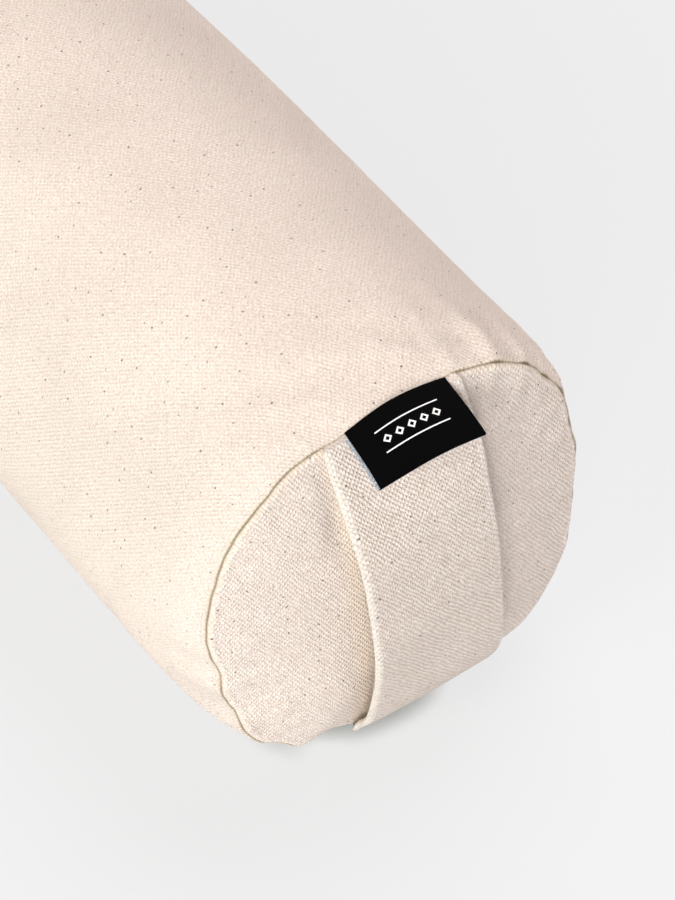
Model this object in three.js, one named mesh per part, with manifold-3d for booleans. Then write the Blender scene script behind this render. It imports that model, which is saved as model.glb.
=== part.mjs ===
// A round floor bolster: a zipped canvas cover with a carry strap over one end, and the filled
// inner pillow that it holds. Millimetres, +Z up, +Y along the bolster. The origin is the centre
// of the flat strip that the bolster rests on, and the strap is on the -Y end.
import * as THREE from 'three';
import { mergeVertices } from 'three/addons/utils/BufferGeometryUtils.js';
import Module from 'manifold-3d';

// ---- driving dimensions ----
const HALF_BODY = 312;          // half the length from seam to seam
const BELLY_RADIUS = 110.5;     // the tube before it settles on the floor
const RIM_RADIUS = 101.5;       // the end seams
const TAPER = 62;               // length over which the tube draws in to each seam
const TAPER_POWER = 2.4;        // how late in that length most of it happens
const CROWN = 12;               // how far each end panel bulges beyond its seam
const AXIS_HEIGHT = 101;        // bolster axis above the floor
const BELLY_SPREAD = 0.03;      // share by which the settled belly is wider
const BELLY_SAG = 0.01;         // share by which its top half is lower

const CANVAS = 1.2;             // cover cloth
const LINER_CLOTH = 0.8;        // inner case cloth
const FIT_GAP = 0.35;           // between layers that lie on each other
const LINER_DEPTH = 5.2;        // from the cover's outside to the inner case's outside
const LINER_END_DEPTH = 3;      // the same at the end seams
const CORE_DEPTH = 9.6;         // from the cover's outside to the filling
const ALLOWANCE = 10;           // seam allowance turned into the tube
const HEM_EASE = 1.5;           // its free edge hangs this much further in

const STRAP_WIDTH = 72;
const STRAP_THICK = 2.6;        // canvas folded lengthwise to four layers
const STRAP_TURN = 4.5;         // degrees from upright, about the bolster's axis
const STRAP_ROOT_RADIUS = 97;   // its ends stop here, under the seams
const STRAP_UPPER_CUT = 49;     // above the bolster's axis, where the free grip begins
const STRAP_LOWER_CUT = -61;    // below it, where the grip ends

const LABEL_WIDTH = 54;
const LABEL_LENGTH = 33;
const LABEL_THICK = 1.3;        // two plies of woven ribbon
const LABEL_RADIUS = 99.6;      // underside of its root, from the bolster's axis
const LABEL_DROOP = 18;         // degrees below level

const ZIP_HALF = 240;           // half the length over the stops
const SLOT_HALF_WIDTH = 6;      // opening in the cover over the zip
const SLOT_END_ROOM = 4;
const TAPE_WIDTH = 13;          // one half of the tape
const TAPE_THICK = 0.5;
const TAPE_DEPTH = 1.5;         // below the cover cloth's inner face
const TAPE_TAIL = 10;           // tape beyond each end stop, under the cover
const CHAIN_GAP = 0.6;          // half the slit between the two coils
const COIL_WIDTH = 2.4;
const COIL_HEIGHT = 1.5;
const STOP_LENGTH = 3;
const STOP_WIDTH = 2.6;
const STOP_HEIGHT = 1.8;

const SLIDER_LENGTH = 12;
const SLIDER_WIDTH = 9;
const PLATE = 1.1;              // slider plates
const RUNNING_GAP = 0.3;        // between the slider and what it runs on
const BRIDGE_SPAN = 8.4;
const BRIDGE_BAR = 1.2;
const BRIDGE_CLEAR = 2.6;       // under the bridge, for the pull's eye to turn in
const PULL_LENGTH = 30;
const PULL_WIDTH = 7;
const PULL_BAR = 1.4;           // the pull's thickness and its eye's bar
const PULL_EYE = [5.2, 3.6];    // eye opening, along and across the pull

const CARE_LABEL = [0.5, 40, 26];
const CARE_LABEL_TURN = 20;     // degrees below the zip

const AROUND = 48;              // facets round the tube

// ---- places worked out from them ----
const PANEL_FACE = BELLY_RADIUS * (1 + BELLY_SPREAD);
const TAPE_FACE = PANEL_FACE - CANVAS * (1 + BELLY_SPREAD) - TAPE_DEPTH;
const COIL_FACE = TAPE_FACE + RUNNING_GAP + COIL_HEIGHT;
const SLIDER_ROOF = COIL_FACE + RUNNING_GAP;
const SLIDER_FLOOR = TAPE_FACE - TAPE_THICK - RUNNING_GAP;
const SLIDER_Y = -ZIP_HALF + STOP_LENGTH + RUNNING_GAP + SLIDER_LENGTH / 2;
const PIVOT_X = SLIDER_ROOF + PLATE + BRIDGE_CLEAR / 2;

const wasm = await Module();
wasm.setup();

const MATERIALS = {
  canvas: new THREE.MeshStandardMaterial({ color: 0xece0d2, roughness: 0.95, metalness: 0 }),
  liner: new THREE.MeshStandardMaterial({ color: 0xf0ebe2, roughness: 0.95, metalness: 0 }),
  filling: new THREE.MeshStandardMaterial({ color: 0xf3efe6, roughness: 1, metalness: 0 }),
  blackRibbon: new THREE.MeshStandardMaterial({ color: 0x101012, roughness: 0.7, metalness: 0 }),
  whiteRibbon: new THREE.MeshStandardMaterial({ color: 0xf4f4f1, roughness: 0.7, metalness: 0 }),
  zipTape: new THREE.MeshStandardMaterial({ color: 0xe6dac8, roughness: 0.9, metalness: 0 }),
  zipCoil: new THREE.MeshStandardMaterial({ color: 0xe2d6c2, roughness: 0.5, metalness: 0 }),
  nickel: new THREE.MeshStandardMaterial({ color: 0xc4c4c2, roughness: 0.3, metalness: 1 }),
};

// ---- helpers ----
const radians = (degrees) => THREE.MathUtils.degToRad(degrees);

// A closed geometry as a solid that can be cut and joined.
function toSolid(geometry) {
  const bare = geometry.clone();
  bare.deleteAttribute('normal');
  bare.deleteAttribute('uv');
  const merged = mergeVertices(bare, 1e-4);
  return new wasm.Manifold(new wasm.Mesh({
    numProp: 3,
    vertProperties: merged.attributes.position.array,
    triVerts: new Uint32Array(merged.index.array),
  }));
}

function fromSolid(solid) {
  const { vertProperties, triVerts } = solid.getMesh();
  const geometry = new THREE.BufferGeometry();
  geometry.setAttribute('position', new THREE.BufferAttribute(new Float32Array(vertProperties), 3));
  geometry.setIndex(new THREE.BufferAttribute(new Uint32Array(triVerts), 1));
  return geometry;
}

function named(name, geometry, material) {
  const mesh = new THREE.Mesh(geometry, material);
  mesh.name = name;
  return mesh;
}

// A box given by its lowest and highest corners.
function block(low, high) {
  const size = high.map((value, i) => value - low[i]);
  const geometry = new THREE.BoxGeometry(...size);
  return geometry.translate(...low.map((value, i) => value + size[i] / 2));
}

// ---- the settled tube ----
// Share of the belly's fullness at a place along the bolster: 1 in the middle, 0 at the seams.
function fullness(y) {
  const into = THREE.MathUtils.clamp((Math.abs(y) - HALF_BODY + TAPER) / TAPER, 0, 1);
  return 1 - into ** TAPER_POWER;
}

function bodyRadius(y) {
  return RIM_RADIUS + (BELLY_RADIUS - RIM_RADIUS) * fullness(y);
}

// Lets a round piece settle: it is pressed flat where it meets the floor and spreads sideways.
// Every layer is scaled along its own radius, so the layers keep their order and their gaps.
function settle(geometry) {
  const place = geometry.attributes.position;
  for (let i = 0; i < place.count; i++) {
    const x = place.getX(i);
    const y = place.getY(i);
    const z = place.getZ(i);
    const full = fullness(y);
    const drop = -z / Math.max(Math.hypot(x, z), 1e-6) * bodyRadius(y);
    const press = drop > AXIS_HEIGHT ? AXIS_HEIGHT / drop : 1;
    const sag = z > 0 ? 1 - BELLY_SAG * full : 1;
    place.setXYZ(i, x * press * (1 + BELLY_SPREAD * full), y, z * press * sag + AXIS_HEIGHT);
  }
  return geometry;
}

// Places along the tube where its profile bends, from one end to the other.
function stations(half) {
  const bends = [0, 0.28, 0.52, 0.72, 0.88, 1].map((share) => half - TAPER * (1 - share));
  return [...bends.toReversed().map((y) => -y), ...bends].filter((y, i, all) => i === 0 || y > all[i - 1]);
}

function tubePanel(depth, cloth, half) {
  const outer = stations(half).map((y) => new THREE.Vector2(bodyRadius(y) - depth, y));
  const inner = stations(half).map((y) => new THREE.Vector2(bodyRadius(y) - depth - cloth, y));
  const profile = [...outer, ...inner.toReversed(), outer[0]];
  return settle(new THREE.LatheGeometry(profile, AROUND));
}

// Height of a crowned end above its seam at a distance from the middle.
function crown(radius, rim) {
  return CROWN * (1 - (radius / rim) ** 2);
}

// A round end panel: crowned over the end, then turned in along the tube as a seam allowance.
function endPanel(side, rim, cloth, seam, allowance) {
  const rings = [0, 0.3, 0.55, 0.78, 0.97].map((share) => share * rim);
  const outside = rings.map((r) => new THREE.Vector2(r, seam + crown(r, rim)));
  const inside = rings.map((r) => new THREE.Vector2(r * (rim - cloth) / rim, seam + crown(r, rim) - cloth));
  const hem = bodyRadius(seam - allowance) - RIM_RADIUS + rim - HEM_EASE;
  const skirt = [
    new THREE.Vector2(rim, seam - cloth),
    new THREE.Vector2(hem, seam - allowance),
    new THREE.Vector2(hem - cloth, seam - allowance),
    new THREE.Vector2(rim - cloth, seam - 2 * cloth),
  ];
  const profile = [...outside, ...skirt, ...inside.toReversed()];
  for (const point of profile) point.y *= side;
  if (side > 0) profile.reverse();
  return settle(new THREE.LatheGeometry(profile, AROUND));
}

function slotCutter() {
  const half = ZIP_HALF + SLOT_END_ROOM;
  const outline = new THREE.Shape();
  outline.absarc(half - SLOT_HALF_WIDTH, 0, SLOT_HALF_WIDTH, -Math.PI / 2, Math.PI / 2, false);
  outline.absarc(-half + SLOT_HALF_WIDTH, 0, SLOT_HALF_WIDTH, Math.PI / 2, 3 * Math.PI / 2, false);
  const reach = 20;
  const cutter = new THREE.ExtrudeGeometry(outline, { depth: reach, bevelEnabled: false, curveSegments: 6 });
  // outline x runs along the bolster, outline y runs up it, and the depth points out of the side
  cutter.applyMatrix4(new THREE.Matrix4().makeBasis(
    new THREE.Vector3(0, 1, 0), new THREE.Vector3(0, 0, 1), new THREE.Vector3(1, 0, 0)));
  return cutter.translate(PANEL_FACE - reach / 2, 0, AXIS_HEIGHT);
}

function coverBodyPanel() {
  const tube = toSolid(tubePanel(0, CANVAS, HALF_BODY));
  return fromSolid(tube.subtract(toSolid(slotCutter())));
}

function fillCore() {
  const half = HALF_BODY - LINER_END_DEPTH - LINER_CLOTH * 3;
  const rim = RIM_RADIUS - CORE_DEPTH;
  const wall = stations(half).map((y) => new THREE.Vector2(bodyRadius(y) - CORE_DEPTH, y));
  const rings = [0, 0.4, 0.75].map((share) => share * rim);
  const end = rings.map((r) => new THREE.Vector2(r, half + crown(r, rim)));
  const start = end.map((point) => new THREE.Vector2(point.x, -point.y));
  return settle(new THREE.LatheGeometry([...start, ...wall, ...end.toReversed()], AROUND));
}

// ---- the carry strap ----
// Outer face of the strap from the top seam to the bottom seam: distance out from the seam plane,
// and height above the bolster's axis. It lies on the crowned end at the top, then stands off it.
const STRAP_LINE = [
  [3.9, 97], [9, 80], [13, 63], [18, 46], [22.8, 30], [27, 13], [30, -3], [30.5, -19],
  [29, -36], [25.5, -52], [20.5, -64], [14.5, -76], [8.2, -87], [4.2, -95],
];

function strapBand() {
  const line = new THREE.SplineCurve(STRAP_LINE.map(([out, up]) => new THREE.Vector2(out, up)));
  const steps = 26;
  const outer = line.getPoints(steps);
  const inner = outer.map((point, i) => {
    const along = line.getTangent(i / steps);
    return new THREE.Vector2(point.x + along.y * STRAP_THICK, point.y - along.x * STRAP_THICK);
  });
  const outline = new THREE.Shape([...outer, ...inner.toReversed()]);
  const band = new THREE.ExtrudeGeometry(outline, { depth: STRAP_WIDTH, bevelEnabled: false });
  // outline x points out of the -Y end, outline y is up, and the depth runs across the end
  band.applyMatrix4(new THREE.Matrix4().makeBasis(
    new THREE.Vector3(0, -1, 0), new THREE.Vector3(0, 0, 1), new THREE.Vector3(-1, 0, 0)));
  band.translate(STRAP_WIDTH / 2, -HALF_BODY, 0);
  const round = new THREE.CylinderGeometry(STRAP_ROOT_RADIUS, STRAP_ROOT_RADIUS, 2 * HALF_BODY + 200, 60);
  return toSolid(band).intersect(toSolid(round));
}

// The part of the strap between two heights above the bolster's axis.
function strapPiece(band, low, high) {
  const reach = HALF_BODY + 100;
  return fromSolid(band.intersect(toSolid(block([-100, -reach, low], [100, 0, high]))));
}

// ---- the woven label ----
function wovenLabel() {
  const half = LABEL_WIDTH / 2 / LABEL_RADIUS;
  const outline = new THREE.Shape();
  outline.absarc(0, 0, LABEL_RADIUS, Math.PI / 2 - half, Math.PI / 2 + half, false);
  outline.absarc(0, 0, LABEL_RADIUS + LABEL_THICK, Math.PI / 2 + half, Math.PI / 2 - half, true);
  const ribbon = new THREE.ExtrudeGeometry(outline, {
    depth: LABEL_LENGTH, bevelEnabled: false, curveSegments: 8,
  });
  // the depth runs out of the -Y end from the seam, and the ribbon droops about its root, which
  // swings the low corners of its arc back towards the seam
  ribbon.rotateX(Math.PI / 2);
  ribbon.translate(0, 0, -LABEL_RADIUS);
  ribbon.rotateX(radians(LABEL_DROOP));
  const swing = LABEL_RADIUS * (1 - Math.cos(half)) * Math.sin(radians(LABEL_DROOP));
  return ribbon.translate(0, -HALF_BODY - FIT_GAP - swing, LABEL_RADIUS + FIT_GAP);
}

// ---- the zip, in the flat plane at the bolster's +X side ----
function zipTape(side) {
  const half = ZIP_HALF + TAPE_TAIL;
  const edges = [side * CHAIN_GAP, side * TAPE_WIDTH].sort((a, b) => a - b);
  return block([TAPE_FACE - TAPE_THICK, -half, edges[0]], [TAPE_FACE, half, edges[1]]);
}

// A half-round ridge of coil along the tape's edge.
function zipCoil(side) {
  const start = -ZIP_HALF + STOP_LENGTH + RUNNING_GAP;
  const end = ZIP_HALF - STOP_LENGTH - RUNNING_GAP;
  const outline = new THREE.Shape();
  outline.absellipse(0, 0, COIL_WIDTH / 2, COIL_HEIGHT, 0, Math.PI, false);
  const ridge = new THREE.ExtrudeGeometry(outline, {
    depth: end - start, bevelEnabled: false, curveSegments: 4,
  });
  ridge.applyMatrix4(new THREE.Matrix4().makeBasis(
    new THREE.Vector3(0, 0, -1), new THREE.Vector3(1, 0, 0), new THREE.Vector3(0, -1, 0)));
  return ridge.translate(TAPE_FACE + RUNNING_GAP, end, side * (CHAIN_GAP + COIL_WIDTH / 2));
}

function topStop(side) {
  const edges = [side * CHAIN_GAP, side * (CHAIN_GAP + STOP_WIDTH)].sort((a, b) => a - b);
  const base = TAPE_FACE + RUNNING_GAP;
  return block([base, -ZIP_HALF, edges[0]], [base + STOP_HEIGHT, -ZIP_HALF + STOP_LENGTH, edges[1]]);
}

function bottomStop() {
  const half = CHAIN_GAP + STOP_WIDTH;
  const base = TAPE_FACE + RUNNING_GAP;
  return block([base, ZIP_HALF - STOP_LENGTH, -half], [base + STOP_HEIGHT, ZIP_HALF, half]);
}

// A slider plate: square at the closing end, with its corners cut back at the other.
function sliderPlate(low, high) {
  const length = SLIDER_LENGTH / 2;
  const width = SLIDER_WIDTH / 2;
  const outline = new THREE.Shape([
    new THREE.Vector2(-length, -width * 0.8), new THREE.Vector2(-length + 1.5, -width),
    new THREE.Vector2(length * 0.2, -width), new THREE.Vector2(length, -width * 0.7),
    new THREE.Vector2(length, width * 0.7), new THREE.Vector2(length * 0.2, width),
    new THREE.Vector2(-length + 1.5, width), new THREE.Vector2(-length, width * 0.8),
  ]);
  const plate = new THREE.ExtrudeGeometry(outline, { depth: high - low, bevelEnabled: false });
  plate.applyMatrix4(new THREE.Matrix4().makeBasis(
    new THREE.Vector3(0, 1, 0), new THREE.Vector3(0, 0, 1), new THREE.Vector3(1, 0, 0)));
  return toSolid(plate.translate(low, 0, 0));
}

// The bridge over the top plate that carries the pull.
function sliderBridge(top) {
  const half = BRIDGE_SPAN / 2;
  const rise = BRIDGE_CLEAR + BRIDGE_BAR;
  const bury = 0.4;
  const outline = new THREE.Shape([
    new THREE.Vector2(-half, -bury), new THREE.Vector2(-half, rise - 1), new THREE.Vector2(-half + 1, rise),
    new THREE.Vector2(half - 1, rise), new THREE.Vector2(half, rise - 1), new THREE.Vector2(half, -bury),
    new THREE.Vector2(half - BRIDGE_BAR, -bury), new THREE.Vector2(half - BRIDGE_BAR, BRIDGE_CLEAR),
    new THREE.Vector2(-half + BRIDGE_BAR, BRIDGE_CLEAR), new THREE.Vector2(-half + BRIDGE_BAR, -bury),
  ]);
  const bridge = new THREE.ExtrudeGeometry(outline, { depth: BRIDGE_BAR, bevelEnabled: false });
  bridge.applyMatrix4(new THREE.Matrix4().makeBasis(
    new THREE.Vector3(0, 1, 0), new THREE.Vector3(1, 0, 0), new THREE.Vector3(0, 0, -1)));
  return toSolid(bridge.translate(top, 0, BRIDGE_BAR / 2));
}

function zipSlider() {
  const top = SLIDER_ROOF + PLATE;
  const length = SLIDER_LENGTH / 2;
  const width = SLIDER_WIDTH / 2;
  const post = toSolid(block([SLIDER_FLOOR - PLATE / 2, -length + 1, -RUNNING_GAP],
    [SLIDER_ROOF + PLATE / 2, -length + 4, RUNNING_GAP]));
  let slider = sliderPlate(SLIDER_ROOF, top).add(sliderPlate(SLIDER_FLOOR - PLATE, SLIDER_FLOOR));
  slider = slider.add(post).add(sliderBridge(top));
  for (const side of [-1, 1]) {
    const walls = [side * (CHAIN_GAP + COIL_WIDTH + RUNNING_GAP), side * (width - 0.2)].sort((a, b) => a - b);
    const flange = block([TAPE_FACE + RUNNING_GAP, -length + 1.5, walls[0]],
      [SLIDER_ROOF + PLATE / 2, length * 0.2, walls[1]]);
    slider = slider.add(toSolid(flange));
  }
  return fromSolid(slider);
}

// The pull lies back along the closed chain; the bar of its eye turns under the bridge.
function zipPull() {
  const bar = PULL_BAR / 2;
  const half = PULL_WIDTH / 2;
  const corner = 2;
  const outline = new THREE.Shape();
  outline.moveTo(-bar, -half + 1);
  outline.lineTo(bar, -half);
  outline.lineTo(PULL_LENGTH - corner, -half);
  outline.absarc(PULL_LENGTH - corner, -half + corner, corner, -Math.PI / 2, 0, false);
  outline.absarc(PULL_LENGTH - corner, half - corner, corner, 0, Math.PI / 2, false);
  outline.lineTo(bar, half);
  outline.lineTo(-bar, half - 1);
  const [long, wide] = PULL_EYE;
  outline.holes.push(new THREE.Path([
    new THREE.Vector2(bar, -wide / 2), new THREE.Vector2(bar, wide / 2),
    new THREE.Vector2(bar + long, wide / 2), new THREE.Vector2(bar + long, -wide / 2),
  ]));
  const pull = new THREE.ExtrudeGeometry(outline, { depth: PULL_BAR, bevelEnabled: false, curveSegments: 4 });
  pull.applyMatrix4(new THREE.Matrix4().makeBasis(
    new THREE.Vector3(0, 1, 0), new THREE.Vector3(0, 0, 1), new THREE.Vector3(1, 0, 0)));
  return pull.translate(PIVOT_X - bar, 0, 0);
}

// ---- the assembly ----
const bolster = new THREE.Group();

const coverRim = RIM_RADIUS - CANVAS - FIT_GAP;
bolster.add(named('cover_body_panel', coverBodyPanel(), MATERIALS.canvas));
bolster.add(named('cover_end_panel_front', endPanel(-1, coverRim, CANVAS, HALF_BODY, ALLOWANCE), MATERIALS.canvas));
bolster.add(named('cover_end_panel_rear', endPanel(1, coverRim, CANVAS, HALF_BODY, ALLOWANCE), MATERIALS.canvas));

const strapFrame = new THREE.Group();
strapFrame.position.z = AXIS_HEIGHT;
strapFrame.rotation.y = -radians(STRAP_TURN);
const band = strapBand();
const cut = FIT_GAP / 2;
strapFrame.add(named('handle_strap_top_end',
  strapPiece(band, STRAP_UPPER_CUT + cut, RIM_RADIUS), MATERIALS.canvas));
strapFrame.add(named('handle_strap_grip',
  strapPiece(band, STRAP_LOWER_CUT + cut, STRAP_UPPER_CUT - cut), MATERIALS.canvas));
strapFrame.add(named('handle_strap_bottom_end',
  strapPiece(band, -RIM_RADIUS, STRAP_LOWER_CUT - cut), MATERIALS.canvas));
strapFrame.add(named('woven_label', wovenLabel(), MATERIALS.blackRibbon));
bolster.add(strapFrame);

const zipFrame = new THREE.Group();
zipFrame.position.z = AXIS_HEIGHT;
zipFrame.add(named('zip_tape_upper', zipTape(1), MATERIALS.zipTape));
zipFrame.add(named('zip_tape_lower', zipTape(-1), MATERIALS.zipTape));
zipFrame.add(named('zip_coil_upper', zipCoil(1), MATERIALS.zipCoil));
zipFrame.add(named('zip_coil_lower', zipCoil(-1), MATERIALS.zipCoil));
zipFrame.add(named('zip_top_stop_upper', topStop(1), MATERIALS.nickel));
zipFrame.add(named('zip_top_stop_lower', topStop(-1), MATERIALS.nickel));
zipFrame.add(named('zip_bottom_stop', bottomStop(), MATERIALS.nickel));
const sliderFrame = new THREE.Group();
sliderFrame.position.y = SLIDER_Y;
sliderFrame.add(named('zip_slider_body', zipSlider(), MATERIALS.nickel));
sliderFrame.add(named('zip_pull_tab', zipPull(), MATERIALS.nickel));
zipFrame.add(sliderFrame);
bolster.add(zipFrame);

const careFrame = new THREE.Group();
careFrame.position.z = AXIS_HEIGHT;
careFrame.rotation.y = radians(CARE_LABEL_TURN);
const careLabel = named('care_label', new THREE.BoxGeometry(...CARE_LABEL), MATERIALS.whiteRibbon);
careLabel.position.x = (PANEL_FACE + BELLY_RADIUS) / 2 - LINER_DEPTH / 2;
careFrame.add(careLabel);
bolster.add(careFrame);

const linerHalf = HALF_BODY - LINER_END_DEPTH;
const linerRim = RIM_RADIUS - LINER_DEPTH - LINER_CLOTH - FIT_GAP;
bolster.add(named('liner_body_panel', tubePanel(LINER_DEPTH, LINER_CLOTH, linerHalf), MATERIALS.liner));
bolster.add(named('liner_end_panel_front',
  endPanel(-1, linerRim, LINER_CLOTH, linerHalf, ALLOWANCE), MATERIALS.liner));
bolster.add(named('liner_end_panel_rear',
  endPanel(1, linerRim, LINER_CLOTH, linerHalf, ALLOWANCE), MATERIALS.liner));
bolster.add(named('fill_core', fillCore(), MATERIALS.filling));

export default bolster;
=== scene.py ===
"""A round floor bolster in natural canvas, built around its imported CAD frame. Metres, +Z up."""
import math
import bmesh
import bpy
import numpy as np
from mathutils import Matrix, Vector


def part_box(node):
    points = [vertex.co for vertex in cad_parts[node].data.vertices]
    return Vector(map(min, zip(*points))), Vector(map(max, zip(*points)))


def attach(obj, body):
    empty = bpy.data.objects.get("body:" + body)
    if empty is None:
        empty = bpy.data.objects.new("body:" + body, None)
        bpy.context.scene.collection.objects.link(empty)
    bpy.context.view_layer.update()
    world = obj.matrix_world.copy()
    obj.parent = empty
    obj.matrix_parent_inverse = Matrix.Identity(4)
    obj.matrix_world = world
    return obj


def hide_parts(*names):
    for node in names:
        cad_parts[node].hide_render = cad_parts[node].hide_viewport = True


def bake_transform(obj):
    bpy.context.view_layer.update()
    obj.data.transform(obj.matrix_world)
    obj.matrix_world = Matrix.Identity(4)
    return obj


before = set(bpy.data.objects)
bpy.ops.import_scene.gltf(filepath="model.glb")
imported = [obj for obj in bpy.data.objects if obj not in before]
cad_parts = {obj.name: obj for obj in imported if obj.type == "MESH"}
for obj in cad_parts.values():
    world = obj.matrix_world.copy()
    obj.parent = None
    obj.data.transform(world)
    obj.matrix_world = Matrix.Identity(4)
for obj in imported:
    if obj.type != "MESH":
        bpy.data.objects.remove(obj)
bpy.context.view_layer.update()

MM = 0.001
SEED = 146

# ---- the frame's own sizes ----
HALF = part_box("cover_body_panel")[1].y  # from the middle to each end seam
AXIS = (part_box("zip_tape_upper")[0].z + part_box("zip_tape_lower")[1].z) / 2  # height of the bolster's axis
BELLY = 110.5 * MM  # the tube before it settles
RIM = 101.5 * MM  # the end seams
TAPER = 62 * MM  # where the tube draws in
TAPER_POWER = 2.4
CROWN = 12 * MM  # bulge of the end panels
CANVAS = 1.1 * MM  # cloth thickness
SPREAD = 0.03  # share by which the settled belly is wider
SAG = 0.01  # share by which its top half is lower
PRESS_EASE = 0.018  # softens the edge of the flat underside

SLACK_WAVES = 14  # unevenness of the stuffing: how many waves, and each one's depth
SLACK_DEPTH = 0.28 * MM
DIMPLE_WAVES = 10  # the same under the end panels
DIMPLE_DEPTH = 0.32 * MM
SEAM_RIDGE = 0.55 * MM  # the cloth stands up beside an end seam
SEAM_ROLL = 1.1 * MM  # and rolls down into it

# ---- the camera ----
CAMERA_AZIMUTH = -33.25
CAMERA_ELEVATION = 43.62
CAMERA_DISTANCE = 2.2
CAMERA_AIM = Vector((-0.0028, -0.2639, 0.1332))
CAMERA_LENS = 195.9

# ---- the floor ----
FLOOR_ALBEDO = 0.12
FLOOR_GLOW = 0.712
CONTACT_REACH = 13 * MM  # how far the shade under the bolster spreads
CONTACT_SHADE = (0.30, 0.31, 0.27)

# ---- the room: pale walls low down, dim above ----
WALL_LIGHT = 0.80
SKY_LIGHT = 0.14

# ---- cloth ----
WARP = 1.15 * MM  # canvas yarns: pitch across the cloth
WEFT = 1.48 * MM  # and along it
CANVAS_TINT = (0.890, 0.806, 0.727)

# ---- the carry strap, in a frame turned about the bolster's axis ----
STRAP_TURN = math.radians(4.5)
STRAP_WIDTH = 72 * MM
STRAP_THICK = 3.2 * MM
STRAP_NOSE = 3.6 * MM  # width of the roll along each folded edge
# its outer face along each long edge: millimetres out from the seam plane, and above the axis.
# A separate program worked these points out from places read off the photograph. They were then
# rounded and evened out, and the two ends of each line were set one by one.
STRAP_LEFT = (
    (-1.2, 101), (1.8, 98), (6.2, 87), (13, 72.5), (19.3, 58.8), (25.2, 45.1), (29.3, 29.6), (31.5, 12.9),
    (32.8, -0.9), (32.8, -14.3), (30.8, -29.7), (26.6, -47.2), (21.7, -62.1), (16.3, -73),
    (9.5, -81), (0.5, -96),
)
STRAP_RIGHT = (
    (-1.2, 101), (2.6, 99), (8.2, 91), (15, 78.5), (19.6, 65), (23, 46), (25.8, 28.5), (27.4, 10.4),
    (27.9, -6), (27.6, -20), (27, -33.5), (25.8, -48), (22.4, -60.5), (17, -70.5), (10.5, -79), (0.5, -94),
)
STRAP_STATIONS = 150
STRAP_MIDDLE = -6 * MM  # where the two halves of the strap join

# ---- the woven label ----
LABEL_WIDTH = 54 * MM
LABEL_LENGTH = 34 * MM
LABEL_THICK = 1.2 * MM
LABEL_PLY = 0.42 * MM
LABEL_BACK_SHIFT = 1.3 * MM  # how far the back ply stands out at one side
LABEL_CURL = 1.1 * MM
LABEL_RADIUS = 101.8 * MM
LABEL_SHIFT = 2.0 * MM  # to the +X side of the strap's middle
LABEL_STRETCH = 1.02
LABEL_DROOP = math.radians(17)

# its pattern: the lozenges' pitch, the row's middle from the seam, and half its length
MOTIF_PITCH = 6.4 * MM
MOTIF_CENTRE = 15.5 * MM
MOTIF_HALF_ROW = 16.5 * MM

# ---- the zip ----
SLOT_HALF = 244 * MM
CHAIN_PITCH = 461 / 307 * MM  # a whole number of teeth to the slider's travel
THREAD_RADIUS = 0.24 * MM
STITCH_RISE = 0.22 * MM
STITCH_SINK = 0.12 * MM  # how far a stitch's ends lie in the cloth
# the frame's metal pieces: name, node, body, and millimetres their edges are rounded by
METAL_PIECES = (
    ("zip_stop_upper", "zip_top_stop_upper", "cover", 0.35),
    ("zip_stop_lower", "zip_top_stop_lower", "cover", 0.35),
    ("zip_stop_closed_end", "zip_bottom_stop", "cover", 0.4),
    ("zip_slider_metal", "zip_slider_body", "zip_slider", 0.25),
    ("zip_pull_metal", "zip_pull_tab", "zip_pull", 0.35),
)


# ---- small helpers ----
def smooth(value, low, high):
    t = np.clip((value - low) / (high - low), 0, 1)
    return t * t * (3 - 2 * t)


def hill(offset, width, power=2):
    """1 where an offset is nothing, fading to 0 over a width."""
    return np.exp(-(offset / width) ** power)


def wave_noise(angle, waves, seed):
    """A smooth random wave round a circle, about 1 at its peaks. waves are how many fit round."""
    rng = np.random.default_rng(seed)
    total = np.zeros_like(angle)
    for count in waves:
        total = total + rng.uniform(0.5, 1) * np.cos(count * angle + rng.uniform(0, 2 * math.pi))
    return total / math.sqrt(len(waves))


def round_angles(count):
    return np.arange(count) * 2 * math.pi / count


def angle_gap(angle, centre):
    """Signed difference from an angle given in degrees, in radians."""
    return (angle - math.radians(centre) + math.pi) % (2 * math.pi) - math.pi


def new_mesh(name, points, faces, attributes=None):
    """A smooth-shaded mesh; an attribute holds one number or three for each point."""
    mesh = bpy.data.meshes.new(name)
    mesh.from_pydata([tuple(p) for p in points], [], [tuple(f) for f in faces])
    for key, values in (attributes or {}).items():
        values = np.asarray(values, np.float32).reshape(len(points), -1)
        kind, field = ("FLOAT_VECTOR", "vector") if values.shape[1] == 3 else ("FLOAT", "value")
        mesh.attributes.new(key, kind, "POINT").data.foreach_set(field, values.ravel())
    mesh.validate()
    mesh.polygons.foreach_set("use_smooth", [True] * len(mesh.polygons))
    return mesh


def linked(name, data, material=None):
    """A new object in the scene, with its mesh, camera or light."""
    made = bpy.data.objects.new(name, data)
    bpy.context.scene.collection.objects.link(made)
    if material is not None:
        data.materials.append(material)
    return made


def new_piece(name, points, faces, material, **attributes):
    return linked(name, new_mesh(name, points, faces, attributes), material)


def applied(piece):
    """Bakes a piece's modifiers into its mesh."""
    graph = bpy.context.evaluated_depsgraph_get()
    mesh = bpy.data.meshes.new_from_object(piece.evaluated_get(graph))
    piece.modifiers.clear()
    old = piece.data
    piece.data = mesh
    bpy.data.meshes.remove(old)
    return piece


def thicken(piece, thickness, offset=-1.0):
    shell = piece.modifiers.new("shell", "SOLIDIFY")
    shell.thickness = thickness
    shell.offset = offset
    shell.use_even_offset = True
    return applied(piece)


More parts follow.
